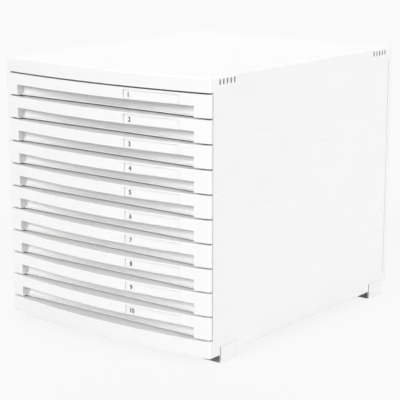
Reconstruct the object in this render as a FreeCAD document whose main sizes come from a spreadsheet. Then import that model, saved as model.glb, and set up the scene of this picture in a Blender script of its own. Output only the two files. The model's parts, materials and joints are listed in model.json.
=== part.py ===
import FreeCAD, Part
import math
import os
import Sketcher
from FreeCAD import Vector

# Desktop drawer organizer: a moulded case on four clip-in feet, with ten flat drawers.
# X runs to the right, Y to the back, Z up. The origin is at the centre of the footprint,
# on the surface that the feet stand on.

doc = FreeCAD.newDocument("DrawerOrganizer")

# Driving dimensions, in millimetres
SIZES = {
    # Case
    "case_width": 275.0,
    "rear_depth": 12.0,
    "cover_height": 14.8,
    "base_height": 17.5,
    "case_wall": 2.5,
    "rear_corner_radius": 8.0,
    "cover_edge_radius": 1.6,
    "seam_gap": 0.6,
    # Drawer levels
    "drawer_count": 10,
    "drawer_pitch": 24.8,
    "drawer_travel": 270.0,
    "running_gap": 0.3,
    "fit_gap": 0.2,
    # Drawer front
    "front_lip": 5.0,
    "front_bow": 11.0,
    "front_gap": 1.7,
    "front_back_gap": 0.8,
    "front_corner_radius": 1.5,
    "front_edge_radius": 0.6,
    "face_height": 12.0,
    "face_wall": 2.5,
    "ledge_wall": 2.0,
    "grip_end": 18.0,
    "grip_back": 1.5,
    "grip_back_wall": 2.0,
    "grip_cove": 3.5,
    "grip_edge": 0.8,
    "clip_spacing": 120.0,
    "clip_width": 14.0,
    "clip_thickness": 2.0,
    "clip_rise": 5.0,
    "clip_reach": 3.0,
    "clip_barb": 1.2,
    # Label
    "label_length": 68.0,
    "label_from_end": 33.7,
    "label_drop": 2.1,
    "label_lip": 0.8,
    "label_depth": 1.0,
    "label_notch": 1.6,
    "label_notch_depth": 1.6,
    "label_edge_gap": 0.35,
    "card_thickness": 0.3,
    "window_thickness": 0.5,
    "label_play": 0.05,
    # Tray
    "tray_length": 329.5,
    "tray_height": 18.1,
    "tray_lift": 1.2,
    "tray_wall": 2.0,
    "tray_floor": 2.0,
    "tray_corner_radius": 4.0,
    "tray_gap": 1.5,
    "tray_clearance": 4.5,
    "flange_thickness": 2.0,
    "flange_gap": 0.8,
    "flange_end": 5.6,
    # Runner ribs and stops inside the side panels
    "rail_front": 6.0,
    "rail_end": 8.0,
    "rail_reach": 8.0,
    "rail_thickness": 2.2,
    "guide_thickness": 1.6,
    "stop_length": 3.0,
    "stop_height": 6.8,
    "lug_length": 4.0,
    # Tabs, lips and shallow lines of the panels
    "tab_width": 30.0,
    "tab_thickness": 1.6,
    "tab_reach": 8.0,
    "tab_root": 3.2,
    "tab_margin": 40.0,
    "lip_overlap": 7.0,
    "line_width": 2.4,
    "line_depth": 0.15,
    "line_front": 4.0,
    "line_rear": 6.0,
    # Stacking slots in the cover
    "slot_count": 5,
    "slot_pitch": 5.9,
    "slot_width": 2.0,
    "slot_height": 5.2,
    "slot_drop": 3.0,
    "slot_lead": 3.7,
    "slot_wall": 1.0,
    "slot_margin": 1.5,
    # Feet
    "foot_height": 9.0,
    "foot_front": 13.5,
    "foot_rear_margin": 15.5,
    "foot_length": 26.0,
    "foot_width": 24.0,
    "foot_plate_rise": 8.5,
    "foot_wall": 2.0,
    "foot_notch_gap": 1.5,
    "pin_radius": 2.5,
    "pin_length": 6.0,
    "boss_wall": 2.0,
    "pad_proud": 0.6,
}

sheet = doc.addObject("Spreadsheet::Sheet", "Sizes")
for row, (alias, number) in enumerate(SIZES.items(), start=1):
    sheet.set("A%d" % row, alias)
    sheet.set("B%d" % row, str(number))
    sheet.setAlias("B%d" % row, alias)
doc.recompute()


class Size:
    """A length that keeps its number together with the sheet formula that it comes from."""

    def __init__(self, number, formula):
        self.number = number
        self.formula = formula

    def __add__(self, other):
        return combine(self, "+", other)

    def __radd__(self, other):
        return combine(other, "+", self)

    def __sub__(self, other):
        return combine(self, "-", other)

    def __rsub__(self, other):
        return combine(other, "-", self)

    def __mul__(self, other):
        return combine(self, "*", other)

    def __rmul__(self, other):
        return combine(other, "*", self)

    def __truediv__(self, other):
        return combine(self, "/", other)

    def __neg__(self):
        return combine(0, "-", self)


def as_size(value):
    """A plain number as a Size."""
    return value if isinstance(value, Size) else Size(float(value), repr(value))


def combine(left, sign, right):
    """The Size of left and right joined by + - * or /."""
    left, right = as_size(left), as_size(right)
    numbers = {
        "+": lambda: left.number + right.number,
        "-": lambda: left.number - right.number,
        "*": lambda: left.number * right.number,
        "/": lambda: left.number / right.number,
    }
    return Size(numbers[sign](), "(%s %s %s)" % (left.formula, sign, right.formula))


def size(alias):
    """The driving dimension of that name."""
    return Size(float(sheet.get(alias)), "Sizes." + alias)


# Places worked out from the driving dimensions
case_width = size("case_width")
case_half = case_width / 2
case_wall = size("case_wall")
case_inner = case_half - case_wall
tray_front = size("grip_back") + size("grip_back_wall")
tray_rear = tray_front + size("tray_length")
case_depth = tray_rear + size("tray_clearance") + case_wall
panel_depth = case_depth - size("rear_depth")
running_gap = size("running_gap")
fit_gap = size("fit_gap")
pitch = size("drawer_pitch")
front_gap = size("front_gap")
front_lip = size("front_lip")
front_bow = size("front_bow")
bow_radius = (case_half * case_half + front_bow * front_bow) / (2 * front_bow)
bow_centre = bow_radius - front_lip - front_bow
front_plane = (front_lip + front_bow - case_depth) / 2
foot_height = size("foot_height")
base_height = size("base_height")
levels_height = size("drawer_count") * pitch + front_gap
panel_floor = foot_height + base_height
panel_top = panel_floor + levels_height
top_level = panel_floor + front_gap / 2 + (size("drawer_count") - 1) * pitch
drawer_count = int(size("drawer_count").number)

rail_reach = size("rail_reach")
rail_inner = case_inner - rail_reach
tray_half = rail_inner - size("tray_gap")
tray_lift = size("tray_lift")
tray_top = tray_lift + size("tray_height")
flange_bottom = tray_top - size("flange_thickness")
rail_top = flange_bottom - running_gap
rail_bottom = rail_top - size("rail_thickness")
guide_bottom = tray_top + running_gap
rail_rear = panel_depth - size("rail_end")
stop_front = size("rail_front") + fit_gap
stop_rear = stop_front + size("stop_length")
stop_bottom = rail_bottom - size("stop_height")
stop_inner = tray_half + size("tray_gap") / 3
lug_outer = rail_inner - running_gap
lug_front = stop_rear + size("drawer_travel") + running_gap
label_right = case_half - size("label_from_end")
label_left = label_right - size("label_length")
label_top = pitch - front_gap / 2 - size("label_drop")
face_bottom = pitch - front_gap / 2 - size("face_height")
label_bottom = face_bottom + size("label_lip")
grip_half = case_half - size("grip_end")
foot_rear = case_depth - size("foot_rear_margin") - size("foot_length")
foot_outer = case_half
foot_inner = case_half - size("foot_width")
pin_x = (foot_outer + foot_inner) / 2


def bind(thing, setting, value):
    """Tie one property of an object to its formula."""
    thing.setExpression(setting, as_size(value).formula)


def new_body(name, height=0):
    """An empty body that stands at the case front plane, at a height over the surface."""
    body = doc.addObject("PartDesign::Body", name)
    body.Label = name
    bind(body, "Placement.Base.y", front_plane)
    bind(body, "Placement.Base.z", height)
    return body


def origin_part(body, role):
    """A plane or axis of the body's own origin."""
    for feature in body.Origin.OriginFeatures:
        if feature.Role == role:
            return feature
    raise ValueError(role)


def new_sketch(body, name, plane="XY_Plane", offset=0):
    """An empty sketch on one of the body's planes, moved along that plane's normal."""
    sketch = body.newObject("Sketcher::SketchObject", name)
    sketch.AttachmentSupport = [(origin_part(body, plane), "")]
    sketch.MapMode = "FlatFace"
    bind(sketch, "AttachmentOffset.Base.z", offset)
    return sketch


def fix(sketch, kind, edge, point, value):
    """Place one end, or the centre, of a sketch edge by its distance from the sketch's origin."""
    value = as_size(value)
    index = sketch.addConstraint(Sketcher.Constraint(kind, -1, 1, edge, point, value.number))
    sketch.setExpression("Constraints[%d]" % index, value.formula)


def set_radius(sketch, edge, radius):
    """Give an arc or circle its radius."""
    index = sketch.addConstraint(Sketcher.Constraint("Radius", edge, radius.number))
    sketch.setExpression("Constraints[%d]" % index, radius.formula)


def polygon(sketch, corners):
    """A closed outline of straight lines through the corners."""
    points = [Vector(as_size(x).number, as_size(y).number, 0) for x, y in corners]
    edges = []
    for start, end in zip(points, points[1:] + points[:1]):
        edges.append(sketch.addGeometry(Part.LineSegment(start, end), False))
    for edge, following in zip(edges, edges[1:] + edges[:1]):
        sketch.addConstraint(Sketcher.Constraint("Coincident", edge, 2, following, 1))
    for edge, (x, y) in zip(edges, corners):
        fix(sketch, "DistanceX", edge, 1, x)
        fix(sketch, "DistanceY", edge, 1, y)


def rectangle(sketch, left, right, front, back):
    """A closed rectangle between two X and two Y places."""
    polygon(sketch, [(left, front), (right, front), (right, back), (left, back)])


def side_rectangle(sketch, side, inner, outer, front, back):
    """A rectangle at the right (side 1) or left (side -1), between two distances from the middle."""
    if side > 0:
        rectangle(sketch, inner, outer, front, back)
    else:
        rectangle(sketch, -outer, -inner, front, back)


def bowed_outline(sketch, left, right, inset, back_corners):
    """An outline whose front is the case's bow, set back by inset, and whose back is straight lines.

    The straight lines run from the arc's right end through back_corners to its left end.
    """
    radius = bow_radius - inset
    centre = Vector(0, bow_centre.number, 0)

    def on_bow(x):
        drop = (radius.number ** 2 - x ** 2) ** 0.5
        return Vector(x, bow_centre.number - drop, 0)

    left_x, right_x = as_size(left).number, as_size(right).number
    circle = Part.Circle(centre, Vector(0, 0, 1), radius.number)
    start_angle = circle.parameter(on_bow(left_x))
    end_angle = circle.parameter(on_bow(right_x))
    arc = sketch.addGeometry(Part.ArcOfCircle(circle, start_angle, end_angle), False)
    close_outline(sketch, arc, on_bow(left_x), back_corners, on_bow(right_x))
    fix(sketch, "DistanceX", arc, 3, 0)
    fix(sketch, "DistanceY", arc, 3, bow_centre)
    set_radius(sketch, arc, radius)
    fix(sketch, "DistanceX", arc, 1, left)
    fix(sketch, "DistanceX", arc, 2, right)


def close_outline(sketch, arc, start, corners, end):
    """Close an arc with straight lines that run from its end through the corners to its start."""
    points = [end]
    points += [Vector(as_size(x).number, as_size(y).number, 0) for x, y in corners]
    points.append(start)
    edges = []
    for first, second in zip(points, points[1:]):
        edges.append(sketch.addGeometry(Part.LineSegment(first, second), False))
    sketch.addConstraint(Sketcher.Constraint("Coincident", arc, 2, edges[0], 1))
    for edge, following in zip(edges, edges[1:]):
        sketch.addConstraint(Sketcher.Constraint("Coincident", edge, 2, following, 1))
    sketch.addConstraint(Sketcher.Constraint("Coincident", edges[-1], 2, arc, 1))
    for edge, (x, y) in zip(edges[1:], corners):
        fix(sketch, "DistanceX", edge, 1, x)
        fix(sketch, "DistanceY", edge, 1, y)


def pad(body, sketch, length, name, reverse=False):
    """Add material from a sketch."""
    feature = body.newObject("PartDesign::Pad", name)
    feature.Profile = sketch
    feature.Reversed = reverse
    bind(feature, "Length", length)
    return feature


def pocket(body, sketch, length, name, reverse=False):
    """Cut material along a sketch, and make sure that the cut met the body."""
    doc.recompute()
    before = body.Shape.Volume
    feature = body.newObject("PartDesign::Pocket", name)
    feature.Profile = sketch
    feature.Reversed = reverse
    bind(feature, "Length", length)
    doc.recompute()
    if not feature.Shape.Volume < before:
        raise ValueError("%s in %s cuts nothing" % (name, body.Label))
    return feature


def pattern(body, features, axis, spacing, count, name):
    """Repeat features along one of the body's axes."""
    feature = body.newObject("PartDesign::LinearPattern", name)
    feature.Originals = features
    feature.Direction = (origin_part(body, axis), [""])
    feature.Mode = "Spacing"
    bind(feature, "Offset", spacing)
    bind(feature, "Occurrences", count)
    body.Tip = feature
    return feature


def round_edges(body, radius, name, wanted):
    """Fillet the edges of the body for which wanted says yes."""
    doc.recompute()
    base = body.Tip
    names = ["Edge%d" % number for number, edge in enumerate(base.Shape.Edges, start=1) if wanted(edge)]
    if not names:
        raise ValueError("%s in %s finds no edge" % (name, body.Label))
    feature = body.newObject("PartDesign::Fillet", name)
    feature.Base = (base, names)
    bind(feature, "Radius", radius)
    return feature


def upright(edge, x=None, y=None):
    """Whether an edge is a vertical line at those places."""
    low, high = edge.BoundBox.getPoint(0), edge.BoundBox.getPoint(6)
    if abs(low.x - high.x) > 1e-4 or abs(low.y - high.y) > 1e-4:
        return False
    if x is not None and abs(abs(low.x) - x.number) > 1e-3:
        return False
    return y is None or abs(low.y - y.number) < 1e-3


def at_height(edge, z):
    """Whether an edge lies flat at that height."""
    box = edge.BoundBox
    return abs(box.ZMin - z.number) < 1e-3 and abs(box.ZMax - z.number) < 1e-3


def case_outline(sketch):
    """The plan of the cover and the base: bowed front, straight sides and back."""
    bowed_outline(sketch, -case_half, case_half, 0, [(case_half, case_depth), (-case_half, case_depth)])


def case_hollow(sketch):
    """The plan of the cover's and the base's hollow."""
    inner_depth = case_depth - case_wall
    back_corners = [(case_inner, inner_depth), (-case_inner, inner_depth)]
    bowed_outline(sketch, -case_inner, case_inner, case_wall, back_corners)


def round_rear_corners(body):
    """Round the outer corners at the back, and the inner ones by a wall less."""
    round_edges(
        body,
        size("rear_corner_radius"),
        "RearCorners",
        lambda edge: upright(edge, case_half, case_depth),
    )
    round_edges(
        body,
        size("rear_corner_radius") - case_wall,
        "InnerRearCorners",
        lambda edge: upright(edge, case_inner, case_depth - case_wall),
    )


def make_top_cover():
    """The lid: a shallow shell, open below, with stacking slots where its side skirt is thin."""
    body = new_body("top_cover", panel_top)
    height = size("cover_height")
    outline = new_sketch(body, "Outline")
    case_outline(outline)
    pad(body, outline, height, "Lid")
    hollow = new_sketch(body, "Hollow")
    case_hollow(hollow)
    pocket(body, hollow, height - case_wall, "Underside", reverse=True)
    round_rear_corners(body)
    round_edges(
        body,
        size("front_corner_radius"),
        "FrontCorners",
        lambda edge: upright(edge, case_half, -front_lip),
    )
    round_edges(body, size("cover_edge_radius"), "TopEdge", lambda edge: at_height(edge, height))
    slot_top = height - size("slot_drop")
    slot_foot = slot_top - size("slot_height")
    thin_half = case_half - size("slot_wall")
    row = (size("slot_count") - 1) * size("slot_pitch") + size("slot_width")
    margin = size("slot_margin")
    for place, foot_start in (("Front", size("foot_front")), ("Rear", foot_rear)):
        start = foot_start - size("slot_lead")
        thin = new_sketch(body, place + "ThinSketch", "YZ_Plane", -thin_half)
        rectangle(thin, start - margin, start + row + margin, slot_foot - margin, height - case_wall)
        pocket(body, thin, 2 * thin_half, place + "ThinWall", reverse=True)
        slot = new_sketch(body, place + "SlotSketch", "YZ_Plane", -case_half - 1)
        rectangle(slot, start, start + size("slot_width"), slot_foot, slot_top)
        cut = pocket(body, slot, case_width + 2, place + "Slot", reverse=True)
        pattern(body, [cut], "Y_Axis", size("slot_pitch"), size("slot_count"), place + "Slots")
    return body


def foot_places():
    """Each foot's side (1 is right) and its front end."""
    return {
        "front_left": (-1, size("foot_front")),
        "front_right": (1, size("foot_front")),
        "rear_left": (-1, foot_rear),
        "rear_right": (1, foot_rear),
    }


def circle(sketch, x, y, radius):
    """A circle placed by its centre."""
    shape = Part.Circle(Vector(as_size(x).number, as_size(y).number, 0), Vector(0, 0, 1), radius.number)
    edge = sketch.addGeometry(shape, False)
    fix(sketch, "DistanceX", edge, 3, x)
    fix(sketch, "DistanceY", edge, 3, y)
    set_radius(sketch, edge, radius)


def make_base_tray():
    """The base: a shallow shell, open below, with foot notches, foot bosses and slots for the tabs."""
    body = new_body("base_tray", foot_height)
    outline = new_sketch(body, "Outline")
    case_outline(outline)
    pad(body, outline, base_height, "Shell")
    hollow = new_sketch(body, "Hollow")
    case_hollow(hollow)
    pocket(body, hollow, base_height - case_wall, "Underside", reverse=True)
    round_rear_corners(body)
    round_edges(
        body,
        size("front_corner_radius"),
        "FrontCorners",
        lambda edge: upright(edge, case_half, -front_lip),
    )
    plate = size("foot_plate_rise")
    bosses = new_sketch(body, "BossSketch", offset=plate)
    bores = new_sketch(body, "BoreSketch", offset=plate)
    notches = new_sketch(body, "NotchSketch")
    for side, start in foot_places().values():
        middle = start + size("foot_length") / 2
        circle(bosses, side * pin_x, middle, size("pin_radius") + size("boss_wall"))
        circle(bores, side * pin_x, middle, size("pin_radius") + fit_gap / 2)
        front = start - size("foot_notch_gap")
        rear = start + size("foot_length") + fit_gap
        side_rectangle(notches, side, case_inner - 1, case_half + 1, front, rear)
    slots = new_sketch(body, "TabSketch", offset=base_height)
    tab_inner = case_inner - size("tab_thickness") - 2 * fit_gap
    for side in (-1, 1):
        for start in tab_starts():
            rear = start + size("tab_width") + fit_gap
            side_rectangle(slots, side, tab_inner, case_inner, start - fit_gap, rear)
    pad(body, bosses, base_height - plate - case_wall / 2, "Bosses")
    pocket(body, bores, size("pin_length") + fit_gap, "Bores", reverse=True)
    pocket(body, notches, plate + fit_gap, "Notches", reverse=True)
    pocket(body, slots, case_wall, "TabSlots")
    return body


def tab_starts():
    """Where the front, middle and rear tabs of a side panel begin."""
    last = panel_depth - size("tab_margin") - size("tab_width")
    return [size("tab_margin"), (size("tab_margin") + last) / 2, last]


def make_side_panel(name, side):
    """A side panel with tabs, shallow outer lines, and a pair of runner ribs and a stop for each drawer."""
    body = new_body(name, panel_floor)
    skin = new_sketch(body, "Skin")
    side_rectangle(skin, side, case_inner, case_half, 0, panel_depth)
    pad(body, skin, levels_height, "Wall")

    tab_outer = case_inner - fit_gap
    tab_inner = tab_outer - size("tab_thickness")
    root = size("tab_root")
    for place, tab_foot, root_foot in (
        ("Low", -size("tab_reach"), 0),
        ("High", levels_height - root, levels_height - root),
    ):
        tabs = new_sketch(body, place + "TabSketch", offset=tab_foot)
        roots = new_sketch(body, place + "RootSketch", offset=root_foot)
        for start in tab_starts():
            end = start + size("tab_width")
            side_rectangle(tabs, side, tab_inner, tab_outer, start, end)
            side_rectangle(roots, side, (tab_inner + tab_outer) / 2, case_inner + fit_gap, start, end)
        pad(body, roots, root, place + "Roots")
        pad(body, tabs, size("tab_reach") + root, place + "Tabs")

    level = front_gap / 2
    line = new_sketch(body, "LineSketch", "XZ_Plane", -size("line_front"))
    middle = level + pitch
    mouth_half = size("line_width") / 2 * (1 + fit_gap / size("line_depth"))
    corners = [
        (side * (case_half - size("line_depth")), middle),
        (side * (case_half + fit_gap), middle - mouth_half),
        (side * (case_half + fit_gap), middle + mouth_half),
    ]
    polygon(line, corners)
    cut = pocket(body, line, panel_depth - size("line_front") - size("line_rear"), "Line")
    pattern(body, [cut], "Z_Axis", pitch, size("drawer_count") - 1, "Lines")

    ribs = []
    for label, foot, height, front, back, inner in (
        ("Rail", rail_bottom, size("rail_thickness"), size("rail_front"), rail_rear, rail_inner),
        ("Guide", guide_bottom, size("guide_thickness"), size("rail_front"), rail_rear, rail_inner),
        ("Stop", stop_bottom, size("stop_height"), stop_front, stop_rear, stop_inner),
    ):
        rib = new_sketch(body, label + "Sketch", offset=level + foot)
        side_rectangle(rib, side, inner, case_inner + case_wall / 2, front, back)
        ribs.append(pad(body, rib, height, label))
    pattern(body, ribs, "Z_Axis", pitch, size("drawer_count"), "Levels")
    return body


def make_rear_panel():
    """The rear wall with its rounded corners, and the lips that lap inside the side panels."""
    body = new_body("rear_panel", panel_floor)
    start = panel_depth + size("seam_gap")
    outline = new_sketch(body, "Outline")
    rectangle(outline, -case_half, case_half, start, case_depth)
    pad(body, outline, levels_height, "Wall")
    hollow = new_sketch(body, "Hollow")
    rectangle(hollow, -case_inner, case_inner, start - 1, case_depth - case_wall)
    pocket(body, hollow, levels_height, "Inside", reverse=True)
    round_rear_corners(body)
    lip_front = start - size("lip_overlap")
    lip_rear = start + size("lip_overlap") / 2
    lip_inner = case_inner - fit_gap - size("tab_thickness")
    lips = new_sketch(body, "LipSketch")
    for side in (-1, 1):
        corners = [
            (side * lip_inner, lip_front),
            (side * (case_inner - fit_gap), lip_front),
            (side * (case_inner - fit_gap), start + fit_gap),
            (side * (case_inner + fit_gap), start + fit_gap),
            (side * (case_inner + fit_gap), lip_rear),
            (side * lip_inner, lip_rear),
        ]
        polygon(lips, corners)
    pad(body, lips, levels_height, "Lips")
    return body


def make_foot(name, side, start):
    """A clip-in foot: a holder open to the front and below, a side plate and a pin."""
    body = new_body("foot_" + name)
    wall = size("foot_wall")
    rear = start + size("foot_length")
    top = foot_height + size("foot_plate_rise")
    bottom = size("pad_proud")
    plan = new_sketch(body, "Plan", offset=bottom)
    side_rectangle(plan, side, foot_inner, foot_outer, start, rear)
    pad(body, plan, top - bottom, "Holder")
    cavity = new_sketch(body, "Cavity", offset=bottom)
    side_rectangle(cavity, side, foot_inner + wall, foot_outer - wall, start - 1, rear - wall)
    pocket(body, cavity, top - bottom - wall, "Inside", reverse=True)
    pin = new_sketch(body, "PinSketch", offset=top)
    circle(pin, side * pin_x, start + size("foot_length") / 2, size("pin_radius"))
    pad(body, pin, size("pin_length"), "Pin")
    return body


def make_foot_pad(name, side, start):
    """The rubber block that fills a foot's holder and stands a little proud below."""
    body = new_body("foot_pad_" + name)
    wall = size("foot_wall")
    rear = start + size("foot_length") - wall
    plan = new_sketch(body, "Plan")
    side_rectangle(plan, side, foot_inner + wall, foot_outer - wall, start, rear)
    pad(body, plan, foot_height + size("foot_plate_rise") - wall, "Block")
    return body


def clip_middles():
    """The middle of each of the two snap clips."""
    return [-size("clip_spacing") / 2, size("clip_spacing") / 2]


def make_drawer_front(name):
    """The bowed front: top ledge, face with a label recess, grip hollow behind it, and two clips.

    The recess is deeper at its left end, which leaves a notch to pull the label strips out by.
    """
    body = new_body(name, top_level)
    low = front_gap / 2
    high = pitch - low
    front_back = -size("front_back_gap")
    outline = new_sketch(body, "Outline", offset=low)
    corners = [
        (case_half, front_back),
        (tray_half, front_back),
        (tray_half, tray_front),
        (-tray_half, tray_front),
        (-tray_half, front_back),
        (-case_half, front_back),
    ]
    bowed_outline(outline, -case_half, case_half, 0, corners)
    pad(body, outline, high - low, "Block")
    hollow = new_sketch(body, "Hollow", offset=low)
    back = size("grip_back")
    bowed_outline(hollow, -grip_half, grip_half, size("face_wall"), [(grip_half, back), (-grip_half, back)])
    pocket(body, hollow, high - low - size("ledge_wall"), "Grip", reverse=True)
    in_front = -front_lip - front_bow - 1
    mouth = new_sketch(body, "Mouth", offset=low)
    rectangle(mouth, -grip_half, grip_half, in_front, back)
    pocket(body, mouth, face_bottom - low, "GripMouth", reverse=True)
    cove = new_sketch(body, "CoveSketch", "YZ_Plane", -grip_half - fit_gap)
    cove_outline(cove, back, low)
    pad(body, cove, 2 * (grip_half + fit_gap), "Cove")
    round_edges(
        body,
        size("front_corner_radius"),
        "FrontCorners",
        lambda edge: upright(edge, case_half, -front_lip),
    )
    round_edges(
        body,
        size("front_edge_radius"),
        "FrontEdges",
        lambda edge: is_front_edge(edge, (low, face_bottom, high)),
    )
    recess = new_sketch(body, "Recess", offset=label_bottom)
    bowed_outline_back(recess, label_left, label_right, size("label_depth"), in_front)
    pocket(body, recess, label_top - label_bottom, "LabelRecess", reverse=True)
    notch = new_sketch(body, "NotchSketch", offset=label_bottom)
    notch_right = label_left + size("label_notch")
    bowed_outline_back(notch, label_left, notch_right, size("label_notch_depth"), in_front)
    pocket(body, notch, label_top - label_bottom, "LabelNotch", reverse=True)
    reach = tray_front + size("tray_wall") + size("clip_reach")
    clips = new_sketch(body, "ClipSketch", offset=size("clip_rise"))
    barbs = new_sketch(body, "BarbSketch", offset=size("clip_rise"))
    for middle in clip_middles():
        left = middle - size("clip_width") / 2
        right = middle + size("clip_width") / 2
        rectangle(clips, left, right, size("grip_back") + fit_gap, reach)
        rectangle(barbs, left, right, tray_front + size("tray_wall") + fit_gap, reach)
    pad(body, clips, size("clip_thickness"), "Clips")
    pad(body, barbs, size("clip_thickness") + size("clip_barb"), "Barbs")
    return body


def cove_outline(sketch, back, low):
    """The foot of the grip's rear wall, filled to a hollow quarter round with a thin front edge."""
    radius = size("grip_cove")
    front = back - radius
    edge_top = low + size("grip_edge")
    top = edge_top + radius
    inside = back + size("grip_back_wall") / 2
    shape = Part.Circle(Vector(front.number, top.number, 0), Vector(0, 0, 1), radius.number)
    arc = sketch.addGeometry(Part.ArcOfCircle(shape, -math.pi / 2, 0), False)
    start = Vector(front.number, edge_top.number, 0)
    end = Vector(back.number, top.number, 0)
    close_outline(sketch, arc, start, [(inside, top), (inside, low), (front, low)], end)
    fix(sketch, "DistanceX", arc, 3, front)
    for point, (x, y) in ((1, (front, edge_top)), (2, (back, top))):
        fix(sketch, "DistanceX", arc, point, x)
        fix(sketch, "DistanceY", arc, point, y)


def bowed_outline_back(sketch, left, right, inset, front):
    """An outline whose back is the case's bow, set back by inset, and whose front is a straight line."""
    bowed_outline(sketch, left, right, inset, [(right, front), (left, front)])


def is_front_edge(edge, heights):
    """Whether an edge is one of the long bowed edges at the front of a drawer."""
    if not any(at_height(edge, z) for z in heights):
        return False
    return edge.Length > 10 and abs(on_outer_bow(edge)) < 1e-3


def on_outer_bow(edge):
    """How far the middle of an edge is from the case's bowed front."""
    middle = edge.valueAt((edge.FirstParameter + edge.LastParameter) / 2)
    return ((middle.x ** 2 + (middle.y - bow_centre.number) ** 2) ** 0.5) - bow_radius.number


def make_label_strip(name, inset, thickness):
    """A thin strip that follows the bow inside the label recess."""
    body = new_body(name, top_level)
    edge_gap = size("label_edge_gap")
    strip = new_sketch(body, "Strip", offset=label_bottom + edge_gap)
    left = label_left + size("label_notch")
    radius_out = bow_radius - inset
    radius_in = radius_out - thickness
    double_arc(strip, left, label_right - edge_gap, radius_out, radius_in)
    pad(body, strip, label_top - label_bottom - 2 * edge_gap, "Sheet")
    return body


def double_arc(sketch, left, right, outer, inner):
    """A curved strip between two arcs about the bow's centre."""
    centre = Vector(0, bow_centre.number, 0)
    ends = []
    for radius in (outer, inner):
        shape = Part.Circle(centre, Vector(0, 0, 1), radius.number)
        places = []
        for x in (left.number, right.number):
            places.append(Vector(x, centre.y - (radius.number ** 2 - x ** 2) ** 0.5, 0))
        angles = [shape.parameter(place) for place in places]
        arc = sketch.addGeometry(Part.ArcOfCircle(shape, angles[0], angles[1]), False)
        fix(sketch, "DistanceX", arc, 3, 0)
        fix(sketch, "DistanceY", arc, 3, bow_centre)
        set_radius(sketch, arc, radius)
        fix(sketch, "DistanceX", arc, 1, left)
        fix(sketch, "DistanceX", arc, 2, right)
        ends.append((arc, places))
    for end in (0, 1):
        (outer_arc, outer_places), (inner_arc, inner_places) = ends
        line = sketch.addGeometry(Part.LineSegment(outer_places[end], inner_places[end]), False)
        sketch.addConstraint(Sketcher.Constraint("Coincident", line, 1, outer_arc, end + 1))
        sketch.addConstraint(Sketcher.Constraint("Coincident", line, 2, inner_arc, end + 1))


def make_tray(name):
    """The tray: open on top, hung on the rails by a flange on each side, with a stop lug on each side."""
    body = new_body(name, top_level)
    wall = size("tray_wall")
    outline = new_sketch(body, "Outline", offset=tray_lift)
    rectangle(outline, -tray_half, tray_half, tray_front, tray_rear)
    pad(body, outline, size("tray_height"), "Block")
    inside = new_sketch(body, "Inside", offset=tray_lift + size("tray_floor"))
    rectangle(inside, wall - tray_half, tray_half - wall, tray_front + wall, tray_rear - wall)
    pocket(body, inside, size("tray_height") - size("tray_floor"), "Hollow", reverse=True)
    round_edges(
        body,
        size("tray_corner_radius"),
        "RearCorners",
        lambda edge: upright(edge, tray_half, tray_rear),
    )
    round_edges(
        body,
        size("tray_corner_radius") - wall,
        "InnerCorners",
        lambda edge: upright(edge, tray_half - wall),
    )
    flange_outer = case_inner - size("flange_gap")
    flange_front = stop_rear + fit_gap
    flange_rear = rail_rear - size("flange_end")
    flanges = new_sketch(body, "FlangeSketch", offset=flange_bottom)
    lugs = new_sketch(body, "LugSketch", offset=stop_bottom + fit_gap)
    for side in (-1, 1):
        root = tray_half - wall / 2
        side_rectangle(flanges, side, root, flange_outer, flange_front, flange_rear)
        side_rectangle(lugs, side, root, lug_outer, lug_front, lug_front + size("lug_length"))
    pad(body, flanges, size("flange_thickness"), "Flanges")
    pad(body, lugs, size("stop_height") - 2 * fit_gap, "Lugs")
    slots = new_sketch(body, "SlotSketch", offset=size("clip_rise") - fit_gap)
    for middle in clip_middles():
        half = size("clip_width") / 2 + fit_gap
        rectangle(slots, middle - half, middle + half, tray_front - 1, tray_front + wall + fit_gap)
    pocket(body, slots, size("clip_thickness") + 2 * fit_gap, "ClipSlots", reverse=True)
    return body


def make_first_drawer():
    """All the pieces of the top drawer, by the last words of their names."""
    stem = "drawer_01_"
    play = size("label_play")
    card = size("card_thickness")
    window = size("window_thickness")
    card_inset = size("label_depth") - play - card
    return {
        "front": make_drawer_front(stem + "front"),
        "tray": make_tray(stem + "tray"),
        "label_card": make_label_strip(stem + "label_card", card_inset, card),
        "label_window": make_label_strip(stem + "label_window", card_inset - play - window, window),
    }


def repeat_drawer(first, number):
    """The same pieces again, at the level of a lower drawer."""
    copies = []
    for ending, piece in first.items():
        copy = doc.addObject("Part::Compound", "drawer_%02d_%s" % (number, ending))
        copy.Links = [piece]
        bind(copy, "Placement.Base.z", -(number - 1) * pitch)
        copies.append(copy)
    return copies


pieces = [
    make_top_cover(),
    make_base_tray(),
    make_side_panel("left_side_panel", -1),
    make_side_panel("right_side_panel", 1),
    make_rear_panel(),
]
for foot_name, (foot_side, foot_start) in foot_places().items():
    pieces.append(make_foot(foot_name, foot_side, foot_start))
    pieces.append(make_foot_pad(foot_name, foot_side, foot_start))
first_drawer = make_first_drawer()
pieces += first_drawer.values()
for drawer_number in range(2, drawer_count + 1):
    pieces += repeat_drawer(first_drawer, drawer_number)

doc.recompute()
for thing in doc.Objects:
    if "Invalid" in thing.State or "Error" in thing.State:
        raise ValueError("%s did not build: %s" % (thing.Label, thing.State))
for piece in pieces:
    if piece.Shape.isNull() or not piece.Shape.isValid():
        raise ValueError("%s has no valid shape" % piece.Label)
    if len(piece.Shape.Solids) != 1:
        raise ValueError("%s is %d solids" % (piece.Label, len(piece.Shape.Solids)))

os.makedirs("parts", exist_ok=True)
for piece in pieces:
    piece.Shape.exportStep("parts/%s.step" % piece.Label)
    box = piece.Shape.BoundBox
    figures = (piece.Label, piece.Shape.Volume, box.XLength, box.YLength, box.ZLength)
    print("%-28s %9.1f mm3  %7.1f %7.1f %6.1f" % figures)
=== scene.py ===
import json
import math

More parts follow.
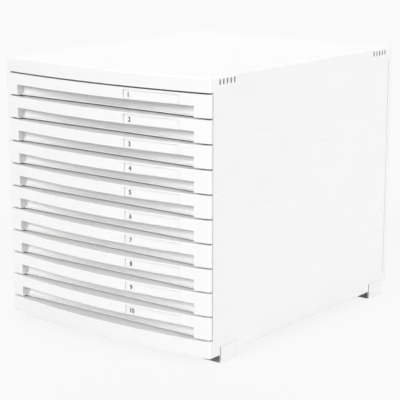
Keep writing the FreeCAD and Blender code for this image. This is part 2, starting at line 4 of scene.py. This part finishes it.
import bpy
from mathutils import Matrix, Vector


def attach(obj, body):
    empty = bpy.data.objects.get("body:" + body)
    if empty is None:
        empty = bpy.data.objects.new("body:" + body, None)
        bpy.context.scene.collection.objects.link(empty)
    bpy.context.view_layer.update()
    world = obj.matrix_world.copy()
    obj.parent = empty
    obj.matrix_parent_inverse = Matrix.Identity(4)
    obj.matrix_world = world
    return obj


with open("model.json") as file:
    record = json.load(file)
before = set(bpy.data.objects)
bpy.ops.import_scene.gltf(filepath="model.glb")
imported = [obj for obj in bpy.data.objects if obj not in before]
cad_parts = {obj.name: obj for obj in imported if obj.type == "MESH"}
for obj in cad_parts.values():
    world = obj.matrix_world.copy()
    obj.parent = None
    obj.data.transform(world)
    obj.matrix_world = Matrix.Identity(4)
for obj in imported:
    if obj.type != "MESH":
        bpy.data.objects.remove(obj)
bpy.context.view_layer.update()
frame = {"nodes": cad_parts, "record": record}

MM = 0.001

# Places of the drawers, the same as in the solids
DRAWERS = 10
PITCH = 24.8 * MM
CASE_FLOOR = 26.5 * MM
FRONT_GAP = 1.7 * MM
LOWEST_LEVEL = CASE_FLOOR + FRONT_GAP / 2

# The bowed front: its half width, its depth, and how far forward its middle stands
HALF_WIDTH = 137.5 * MM
BOW_DEPTH = 11.0 * MM
BOW_FRONT_Y = -178.0 * MM
BOW_RADIUS = (HALF_WIDTH ** 2 + BOW_DEPTH ** 2) / (2 * BOW_DEPTH)
BOW_CENTRE_Y = BOW_FRONT_Y + BOW_RADIUS

# Printed numbers on the label cards, placed from the middle of the case and from each drawer's level
NUMBER_LEFT = 41.5 * MM
NUMBER_FOOT = 14.5 * MM
NUMBER_HEIGHT = 5.2 * MM
NUMBER_INSET = 0.625 * MM
INK_THICKNESS = 0.02 * MM
# In units of the lettering, before it is scaled
NUMBER_BOLD = 0.035
NUMBER_EXTRUDE = 0.5

# Colours of the plastics, and of their edges, painted brighter partly as wear and partly as painted
# highlight
CASE_WHITE = (0.915, 0.913, 0.917)
CASE_EDGE_WEAR_AND_HIGHLIGHT = (0.94, 0.94, 0.945)
DRAWER_WHITE = (0.925, 0.925, 0.92)
DRAWER_EDGE_WEAR_AND_HIGHLIGHT = (0.945, 0.945, 0.945)
CLOUDING = 0.985

# Softened edges, and the relief of each surface
PLASTIC_EDGE = 0.35 * MM
SINK_DEPTH = 0.05 * MM
GRAIN_DEPTH = 0.012 * MM
STRIP_EDGE = 0.1 * MM
FIBRE_DEPTH = 0.01 * MM
RUBBER_EDGE = 0.4 * MM
RUBBER_GRAIN_DEPTH = 0.03 * MM

# Camera
CAMERA_PLACE = (0.95064, -1.22608, 0.47302)
CAMERA_AIM = (0.0, -0.00641, 0.12427)
CAMERA_LENS = 126.856
CAMERA_SENSOR = 36.0
CAMERA_REACH = 200.0

# Light
SKY_LEVEL = 0.20
SUNS = [
    # name, direction towards the light, strength, spread in degrees, seen as a highlight
    ("key", (-0.08, -0.88, 0.47), 2.10, 30, False),
    ("side", (0.95, 0.0, 0.32), 1.98, 40, False),
    ("overhead", (0.0, 0.1, 1.0), 0.25, 40, True),
    ("back", (-0.60, 0.70, 0.38), 1.65, 60, False),
]
FLOOR_REACH = 30.0
FLOOR_DROP = 0.2 * MM
FLOOR_COLOUR = (0.60, 0.60, 0.60, 1.0)
# Share of plain white where the floor is seen
FLOOR_GLOW = 0.88

# The colour sockets of a Mix node
MIX_FIRST = 6
MIX_SECOND = 7
MIX_RESULT = 2


class Graph:
    """A material's nodes, with short ways to add and join them."""

    def __init__(self, name):
        self.material = bpy.data.materials.new(name)
        self.material.use_nodes = True
        self.nodes = self.material.node_tree.nodes
        self.links = self.material.node_tree.links
        self.nodes.clear()
        self.place = self.add("TexCoord").outputs["Object"]
        self.surface = self.add("BsdfPrincipled")
        output = self.add("OutputMaterial")
        self.join(self.surface.outputs["BSDF"], output.inputs["Surface"])

    def add(self, kind, **settings):
        """A new node with those settings."""
        node = self.nodes.new("ShaderNode" + kind)
        for name, value in settings.items():
            setattr(node, name, value)
        return node

    def join(self, output, socket):
        """Link an output to a socket."""
        self.links.new(output, socket)

    def noise(self, scale, detail=2.0):
        """Noise with that many cells in a metre."""
        node = self.add("TexNoise")
        self.join(self.place, node.inputs["Vector"])
        node.inputs["Scale"].default_value = scale
        node.inputs["Detail"].default_value = detail
        return node.outputs["Fac"]

    def spread(self, value, low=0.0, high=1.0, start=0.3, end=0.7):
        """Map a value from start to end onto low to high."""
        node = self.add("MapRange")
        self.join(value, node.inputs["Value"])
        node.inputs["From Min"].default_value = start
        node.inputs["From Max"].default_value = end
        node.inputs["To Min"].default_value = low
        node.inputs["To Max"].default_value = high
        return node.outputs["Result"]

    def blend(self, factor, first, second):
        """A colour between two colours; each is a colour or an output."""
        node = self.add("Mix", data_type="RGBA")
        self.join(factor, node.inputs["Factor"])
        for place, colour in ((MIX_FIRST, first), (MIX_SECOND, second)):
            socket = node.inputs[place]
            if isinstance(colour, tuple):
                socket.default_value = colour + (1.0,)
            else:
                self.join(colour, socket)
        return node.outputs[MIX_RESULT]

    def bump(self, height, depth, normal=None):
        """Raise the surface by up to depth metres."""
        node = self.add("Bump")
        node.inputs["Strength"].default_value = 1.0
        node.inputs["Distance"].default_value = depth
        self.join(height, node.inputs["Height"])
        if normal is not None:
            self.join(normal, node.inputs["Normal"])
        return node.outputs["Normal"]

    def rounded_edges(self, radius):
        """The normal with every sharp edge softened, and a mask that is 1 along the edges."""
        bevel = self.add("Bevel", samples=4)
        bevel.inputs["Radius"].default_value = radius
        dot = self.add("VectorMath", operation="DOT_PRODUCT")
        self.join(bevel.outputs["Normal"], dot.inputs[0])
        self.join(self.add("NewGeometry").outputs["Normal"], dot.inputs[1])
        mask = self.spread(dot.outputs["Value"], 1.0, 0.0, 0.72, 0.99)
        return bevel.outputs["Normal"], mask

    def set(self, socket, value):
        """Set a socket of the surface to a constant, or join an output to it."""
        target = self.surface.inputs[socket]
        if isinstance(value, bpy.types.NodeSocket):
            self.join(value, target)
        else:
            target.default_value = value


def moulded_plastic(name, colour, edge_wear_and_highlight, roughness):
    """Satin white plastic: fine mould grain, slow sink marks, rounded edges painted a little brighter,
    partly as wear and partly as painted highlight.
    """
    graph = Graph(name)
    soft, edge = graph.rounded_edges(PLASTIC_EDGE)
    waves = graph.bump(graph.noise(22, 1.0), SINK_DEPTH, soft)
    grain = graph.bump(graph.noise(3600, 2.0), GRAIN_DEPTH, waves)
    graph.set("Normal", grain)
    cloudy = tuple(c * CLOUDING for c in colour)
    mottled = graph.blend(graph.spread(graph.noise(14, 3.0)), cloudy, colour)
    # Edges painted brighter: partly wear, partly painted highlight.
    graph.set("Base Color", graph.blend(edge, mottled, edge_wear_and_highlight))
    graph.set("Roughness", graph.spread(graph.noise(70, 4.0), roughness - 0.04, roughness + 0.05))
    graph.set("IOR", 1.5)
    return graph.material


def clear_plastic(name):
    """A thin clear strip with faint handling marks."""
    graph = Graph(name)
    soft, _ = graph.rounded_edges(STRIP_EDGE)
    graph.set("Normal", soft)
    graph.set("Base Color", (0.93, 0.95, 0.97, 1.0))
    graph.set("Roughness", graph.spread(graph.noise(400, 4.0), 0.05, 0.14))
    graph.set("IOR", 1.49)
    graph.set("Alpha", 0.06)
    return graph.material


def card_paper(name):
    """White card with fine fibres."""
    graph = Graph(name)
    fibres = graph.noise(2600, 5.0)
    share = graph.spread(fibres)
    graph.set("Base Color", graph.blend(share, (0.93, 0.93, 0.925), (0.96, 0.96, 0.955)))
    graph.set("Normal", graph.bump(fibres, FIBRE_DEPTH))
    graph.set("Roughness", 0.85)
    return graph.material


def printed_ink(name):
    """Dark grey print, a little uneven."""
    graph = Graph(name)
    patches = graph.spread(graph.noise(5000, 2.0))
    graph.set("Base Color", graph.blend(patches, (0.015, 0.015, 0.018), (0.035, 0.035, 0.04)))
    graph.set("Roughness", 0.6)
    return graph.material


def foot_rubber(name):
    """Grey rubber with a matt, slightly dusty grain; its grey is made darker, partly as painted shade
    under the base, and its edges are painted lighter, partly as wear and partly as painted highlight.
    """
    graph = Graph(name)
    soft, edge = graph.rounded_edges(RUBBER_EDGE)
    grain = graph.noise(1800, 3.0)
    graph.set("Normal", graph.bump(grain, RUBBER_GRAIN_DEPTH, soft))
    share = graph.spread(graph.noise(160, 4.0))
    # The grey is darkened, partly as painted shade on the foot's front under the base.
    mottled_painted_shade = graph.blend(share, (0.29, 0.29, 0.30), (0.36, 0.36, 0.37))
    # Edges painted lighter: partly wear, partly painted highlight.
    graph.set("Base Color", graph.blend(edge, mottled_painted_shade, (0.42, 0.42, 0.43)))
    graph.set("Roughness", graph.spread(grain, 0.68, 0.85))
    return graph.material


finishes = {
    "case_plastic": moulded_plastic("case_plastic_moulded", CASE_WHITE, CASE_EDGE_WEAR_AND_HIGHLIGHT, 0.36),
    "drawer_plastic": moulded_plastic("drawer_plastic_moulded", DRAWER_WHITE, DRAWER_EDGE_WEAR_AND_HIGHLIGHT, 0.34),
    "label_clear": clear_plastic("label_clear_strip"),
    "label_paper": card_paper("label_paper_card"),
    "pad_rubber": foot_rubber("pad_rubber_painted_shade"),
}
for subpart in frame["record"]["subparts"]:
    for place in frame["nodes"][subpart["node"]].material_slots:
        place.material = finishes[subpart["material_slot"]]

ink = printed_ink("label_ink")


def bow_y(x, inset):
    """Where the bowed front is at x, set back by inset."""
    return BOW_CENTRE_Y - math.sqrt((BOW_RADIUS - inset) ** 2 - x * x)


def printed_number(number):
    """The drawer's number in raised ink on its card, bent to the bow."""
    text = bpy.data.curves.new("number_text", "FONT")
    text.body = str(number)
    text.extrude = NUMBER_EXTRUDE
    text.bevel_depth = NUMBER_BOLD
    text.bevel_resolution = 0
    holder = bpy.data.objects.new("number_text", text)
    bpy.context.scene.collection.objects.link(holder)
    bpy.context.view_layer.update()
    depsgraph = bpy.context.evaluated_depsgraph_get()
    mesh = bpy.data.meshes.new_from_object(holder.evaluated_get(depsgraph))
    bpy.data.objects.remove(holder)
    bpy.data.curves.remove(text)
    left = min(v.co.x for v in mesh.vertices)
    foot = min(v.co.y for v in mesh.vertices)
    scale = NUMBER_HEIGHT / (max(v.co.y for v in mesh.vertices) - foot)
    level = LOWEST_LEVEL + (DRAWERS - number) * PITCH
    for vertex in mesh.vertices:
        x = NUMBER_LEFT + (vertex.co.x - left) * scale
        z = level + NUMBER_FOOT + (vertex.co.y - foot) * scale
        vertex.co = (x, bow_y(x, NUMBER_INSET) - vertex.co.z * INK_THICKNESS, z)
    mesh.materials.clear()
    mesh.materials.append(ink)
    piece = bpy.data.objects.new("drawer_%02d_number" % number, mesh)
    bpy.context.scene.collection.objects.link(piece)
    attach(piece, "drawer_%02d" % number)


for drawer in range(1, DRAWERS + 1):
    printed_number(drawer)


def seen_directly(nodes, links):
    """A value that is 1 for camera, glossy and transmission rays, and 0 for all others."""
    path = nodes.new("ShaderNodeLightPath")
    value = path.outputs["Is Camera Ray"]
    for name in ("Is Glossy Ray", "Is Transmission Ray"):
        larger = nodes.new("ShaderNodeMath")
        larger.operation = "MAXIMUM"
        links.new(value, larger.inputs[0])
        links.new(path.outputs[name], larger.inputs[1])
        value = larger.outputs[0]
    return value


def make_floor():
    """A plain pale floor with the object's faint shadow, nearly white where it is seen."""
    mesh = bpy.data.meshes.new("floor")
    sides = ((-1, -1), (1, -1), (1, 1), (-1, 1))
    corners = [(x * FLOOR_REACH, y * FLOOR_REACH, -FLOOR_DROP) for x, y in sides]
    mesh.from_pydata(corners, [], [(0, 1, 2, 3)])
    floor = bpy.data.objects.new("floor", mesh)
    bpy.context.scene.collection.objects.link(floor)
    material = bpy.data.materials.new("floor_pale")
    material.use_nodes = True
    nodes, links = material.node_tree.nodes, material.node_tree.links
    nodes.clear()
    diffuse = nodes.new("ShaderNodeBsdfDiffuse")
    diffuse.inputs["Color"].default_value = FLOOR_COLOUR
    glow = nodes.new("ShaderNodeEmission")
    share = nodes.new("ShaderNodeMath")
    share.operation = "MULTIPLY"
    share.inputs[1].default_value = FLOOR_GLOW
    links.new(seen_directly(nodes, links), share.inputs[0])
    both = nodes.new("ShaderNodeMixShader")
    links.new(share.outputs[0], both.inputs["Fac"])
    links.new(diffuse.outputs[0], both.inputs[1])
    links.new(glow.outputs[0], both.inputs[2])
    output = nodes.new("ShaderNodeOutputMaterial")
    links.new(both.outputs[0], output.inputs["Surface"])
    mesh.materials.append(material)


def make_world():
    """An even white sky, at full white where it is seen directly."""
    world = bpy.data.worlds.new("studio")
    bpy.context.scene.world = world
    world.use_nodes = True
    nodes, links = world.node_tree.nodes, world.node_tree.links
    nodes.clear()
    background = nodes.new("ShaderNodeBackground")
    background.inputs["Color"].default_value = (1.0, 1.0, 1.0, 1.0)
    level = nodes.new("ShaderNodeMapRange")
    links.new(seen_directly(nodes, links), level.inputs["Value"])
    level.inputs["To Min"].default_value = SKY_LEVEL
    level.inputs["To Max"].default_value = 1.0
    links.new(level.outputs["Result"], background.inputs["Strength"])
    output = nodes.new("ShaderNodeOutputWorld")
    links.new(background.outputs[0], output.inputs["Surface"])


def make_sun(name, direction, strength, spread, highlight):
    """A wide soft lamp from a direction, with or without a highlight on glossy surfaces."""
    lamp = bpy.data.lights.new(name, "SUN")
    lamp.energy = strength
    lamp.angle = math.radians(spread)
    holder = bpy.data.objects.new(name, lamp)
    bpy.context.scene.collection.objects.link(holder)
    holder.visible_glossy = highlight
    holder.rotation_mode = "QUATERNION"
    holder.rotation_quaternion = Vector(direction).to_track_quat("Z", "Y")


def make_camera():
    """The camera at the photo's viewing angle."""
    data = bpy.data.cameras.new("camera")
    data.lens = CAMERA_LENS
    data.sensor_width = CAMERA_SENSOR
    data.clip_end = CAMERA_REACH
    camera = bpy.data.objects.new("camera", data)
    bpy.context.scene.collection.objects.link(camera)
    camera.location = CAMERA_PLACE
    camera.rotation_mode = "QUATERNION"
    camera.rotation_quaternion = (Vector(CAMERA_AIM) - Vector(CAMERA_PLACE)).to_track_quat("-Z", "Y")
    bpy.context.scene.camera = camera


make_floor()
make_world()
for sun in SUNS:
    make_sun(*sun)
make_camera()
bpy.context.scene.view_settings.view_transform = "Standard"
